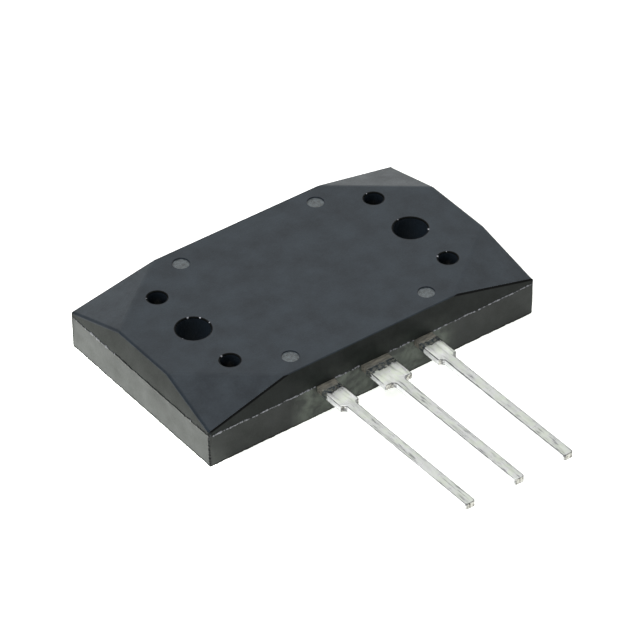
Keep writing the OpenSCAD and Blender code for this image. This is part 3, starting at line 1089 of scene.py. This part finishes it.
lightSettings = {
    "floorColour": "#f4f4f2",
    "floorSize": 0.9,
    "floorDrop": 0.00002,  # metres below the part, so that their faces don't coincide
    # the floor is a lit table; each glow is an oval as (middle, half axes in metres, how many
    # half axes out it ends, strength)
    "floorGlows": {
        "left": ((-0.02, 0.0012, 0), (0.0025, 0.0105), 2.4, 2.9),
        "front": ((0, -0.0135, 0), (0.013, 0.003), 2.3, 0.3),
    },
    "footGlow": (0.0015, 0.35),  # how far out from the body it reaches, in metres, and its strength
    "tableGlow": 0.08,  # all over, so that the leads cast no shadow
    "glowColour": "#fbfff8",
    "skyColour": "#fbfdfb",
    # soft glows of the sky as (azimuth, elevation, inner angle, outer angle, strength), in
    # degrees, fitted to the photograph's tones; most of the light comes from behind and the right
    "skyGlows": {
        "all": (0, 90, 0, 180, 0.15),
        "overCamera": (233, 60, 12, 40, 0.8),
        "overSlope": (56, 70, 5, 22, 3.1),
        "overhead": (0, 90, 15, 65, 0.92),
        "backRight": (50, 38, 12, 50, 0.5),
        "lowBack": (66, 12, 8, 35, 1.35),
        "leftBack": (122, 32, 12, 48, 0.4),
        "lowRight": (5, 12, 10, 40, 1.9),
        "lowFront": (292, 12, 10, 40, 0.8),
        "lowLeft": (200, 12, 10, 40, 0.5),
    },
    # lamps as (place, aim, size, power)
    "lamps": {"left": ((-0.14, 0.03, 0.2), (-0.03, 0.01, 0), 0.14, 0.5)},
}


def paleFloor():
    s = lightSettings
    half = s["floorSize"] / 2
    corners = [(x * half, y * half, -s["floorDrop"]) for x, y in ((-1, -1), (1, -1), (1, 1), (-1, 1))]
    floor = newObject("paleFloor", meshFrom("paleFloor", corners, faces=[(0, 1, 2, 3)]))
    material, tree, shader = startMaterial("paleFloor", {
        "Base Color": linearColour(s["floorColour"]), "Roughness": 0.9, "Specular IOR Level": 0.1})
    place = ownPlace(tree)
    total = s["tableGlow"]
    for middle, (halfX, halfY), end, strength in s["floorGlows"].values():
        offset = vectorMaths(tree, "SUBTRACT", place, middle)
        inHalves = vectorMaths(tree, "MULTIPLY", offset, (1 / halfX, 1 / halfY, 0))
        away = vectorMaths(tree, "LENGTH", inHalves).outputs["Value"]
        total = maths(tree, "ADD", spread(tree, away, 0, strength, end, 1.0, "SMOOTHSTEP"), total)
    reach, strength = s["footGlow"]
    foot = (halfLength * mm, halfWidth * mm, 0)
    past = split(tree, vectorMaths(tree, "SUBTRACT", vectorMaths(tree, "ABSOLUTE", place), foot))
    away = maths(tree, "MAXIMUM", past["X"], past["Y"])
    total = maths(tree, "ADD", spread(tree, away, 0, strength, reach, 0.0, "SMOOTHSTEP"), total)
    setUp(tree, shader, {"Emission Color": linearColour(s["glowColour"]), "Emission Strength": total})
    floor.data.materials.append(material)


def softSky():
    s = lightSettings
    world = bpy.data.worlds.new("softSky")
    world.use_nodes = True
    tree = world.node_tree
    tree.nodes.clear()
    where = addNode(tree, "ShaderNodeTexCoord").outputs["Generated"]
    total = 0.0
    for azimuth, elevation, inner, outer, strength in s["skyGlows"].values():
        a, e = radians(azimuth), radians(elevation)
        middle = (cos(e) * cos(a), cos(e) * sin(a), sin(e))
        towards = vectorMaths(tree, "DOT_PRODUCT", where, middle).outputs["Value"]
        glow = spread(tree, towards, 0, strength, cos(radians(outer)), cos(radians(inner)), "SMOOTHSTEP")
        total = maths(tree, "ADD", glow, total)
    sky = addNode(tree, "ShaderNodeBackground", {
        "Color": linearColour(s["skyColour"]), "Strength": total})
    addNode(tree, "ShaderNodeOutputWorld", {"Surface": sky})
    bpy.context.scene.world = world


def areaLight(name, place, target, size, power):
    data = bpy.data.lights.new(name, "AREA")
    data.energy = power
    data.size = size
    lamp = newObject(name, data)
    lamp.location = place
    lamp.rotation_mode = "QUATERNION"
    lamp.rotation_quaternion = (Vector(target) - Vector(place)).to_track_quat("-Z", "Y")
    lamp.visible_glossy = False  # no hard glints on the leads' edges


cameraSettings = {
    "azimuth": -36.844, "elevation": 38.763, "distance": 0.46516,
    "right": -0.002082, "up": 0.001523, "aim": (0, -0.006, 0.003),
    "lens": 291.55, "sensor": 36,  # mm
    "clip": (0.01, 10),  # metres
}


def photographsCamera():
    s = cameraSettings
    a, e = radians(s["azimuth"]), radians(s["elevation"])
    right = Vector((cos(a), sin(a), 0))
    back = Vector((sin(a) * cos(e), -cos(a) * cos(e), sin(e)))
    up = back.cross(right)
    data = bpy.data.cameras.new("camera")
    data.lens = s["lens"]
    data.sensor_width = s["sensor"]
    data.clip_start, data.clip_end = s["clip"]
    camera = newObject("camera", data)
    camera.location = Vector(s["aim"]) + right * s["right"] + up * s["up"] + back * s["distance"]
    camera.rotation_mode = "QUATERNION"
    camera.rotation_quaternion = Matrix((right, up, back)).transposed().to_quaternion()
    bpy.context.scene.camera = camera


paleFloor()
softSky()
for name, (place, aim, size, power) in lightSettings["lamps"].items():
    areaLight(name, place, aim, size, power)
photographsCamera()
bpy.context.scene.view_settings.view_transform = "Standard"
print("floor, light and camera made")
